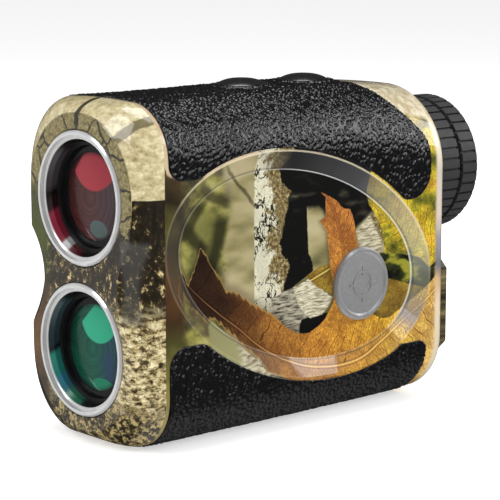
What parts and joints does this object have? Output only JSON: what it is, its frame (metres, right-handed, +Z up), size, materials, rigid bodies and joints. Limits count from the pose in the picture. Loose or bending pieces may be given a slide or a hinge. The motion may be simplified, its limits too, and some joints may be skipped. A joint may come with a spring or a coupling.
{
  "type": "laser rangefinder",
  "caption": "Pocket laser rangefinder: sighting lens above a receiver lens, leather-grained grips, top push buttons, ribbed focusing eyepiece and a hinged battery door.",
  "frame": {"origin": "bottom centre of the bounding box", "axes": "+X the right-hand side, +Y along the optical axis toward the eye (objectives look toward -Y), +Z up"},
  "size_m": [0.0426, 0.1054, 0.0748],
  "materials": {
    "camo_shell": "glossy printed shell",
    "grip_rubber": "leather-grained black rubber",
    "button_black": "polished black",
    "chrome_ring": "bright",
    "satin_badge": "satin",
    "barrel_black": "matt black",
    "red_coated_glass": "red anti-reflection coating",
    "green_coated_glass": "green anti-reflection coating",
    "clear_glass": "polished",
    "eyecup_rubber": "ribbed",
    "frame_aluminium": "bead blasted",
    "board_green": "solder mask",
    "chip_black": "moulded",
    "steel": "plain",
    "emitter_brass": "plated",
    "ribbon_amber": "polyimide",
    "cell_wrap": "printed sleeve"
  },
  "bodies": {
    "housing": {"body_shell": "camo_shell", "front_bezel": "camo_shell", "rear_cover": "camo_shell", "upper_grip": "grip_rubber", "lower_grip": "grip_rubber", "upper_lens_ring": "chrome_ring", "lower_lens_ring": "chrome_ring", "badge_right": "satin_badge", "badge_left": "satin_badge", "upper_barrel": "barrel_black", "lower_barrel": "barrel_black", "upper_lens_retainer": "barrel_black", "lower_lens_retainer": "barrel_black", "eyepiece_tube": "barrel_black", "display_holder": "barrel_black", "receiver_housing": "barrel_black", "battery_tube": "barrel_black", "upper_objective": "red_coated_glass", "lower_objective": "green_coated_glass", "focusing_lens": "clear_glass", "half_penta_prism": "clear_glass", "roof_prism": "clear_glass", "reticle_display": "clear_glass", "receiver_filter": "clear_glass", "eyepiece_seal": "eyecup_rubber", "chassis": "frame_aluminium", "prism_frame": "frame_aluminium", "main_board": "board_green", "button_board": "board_green", "receiver_board": "board_green", "processor": "chip_black", "timing_chips": "chip_black", "fire_switch": "chip_black", "mode_switch": "chip_black", "storage_capacitors": "chip_black", "board_screws": "steel", "button_board_screws": "steel", "rear_cover_screws": "steel", "door_pin": "steel", "prism_clip": "steel", "receiver_shield": "steel", "laser_emitter": "emitter_brass", "photodiode": "emitter_brass", "battery_contact": "emitter_brass", "ribbon_cable": "ribbon_amber", "battery": "cell_wrap"},
    "fire_button": {"fire_button": "button_black"},
    "mode_button": {"mode_button": "button_black"},
    "diopter_ring": {"diopter_ring": "eyecup_rubber", "eyecup": "eyecup_rubber"},
    "ocular_cell": {"ocular_cell": "barrel_black", "cam_pins": "steel", "eye_lens": "clear_glass", "field_lens": "clear_glass", "ocular_retainer": "barrel_black"},
    "battery_door": {"battery_door": "camo_shell", "door_contact": "emitter_brass"}
  },
  "joints": [
    {"name": "fire_press", "type": "slide", "parent": "housing", "child": "fire_button", "axis": [0, 0, -1], "range_m": [0, 0.0008], "stiffness_N_per_m": 1200, "springref_m": -0.0004},
    {"name": "mode_press", "type": "slide", "parent": "housing", "child": "mode_button", "axis": [0, 0, -1], "range_m": [0, 0.0008], "stiffness_N_per_m": 1200, "springref_m": -0.0004},
    {"name": "diopter_turn", "type": "hinge", "parent": "housing", "child": "diopter_ring", "pos_m": [0, 0.0425, 0.0516], "axis": [0, 1, 0], "range_deg": [-90, 90]},
    {"name": "cell_travel", "type": "slide", "parent": "housing", "child": "ocular_cell", "axis": [0, 1, 0], "range_m": [-0.0012, 0.0012]},
    {"name": "battery_door_hinge", "type": "hinge", "parent": "housing", "child": "battery_door", "pos_m": [0, 0.039, 0.0122], "axis": [-1, 0, 0], "range_deg": [0, 100]}
  ],
  "couplings": [
    {"joint": "cell_travel", "follows": "diopter_turn", "m_per_rad": 0.00076}
  ]
}
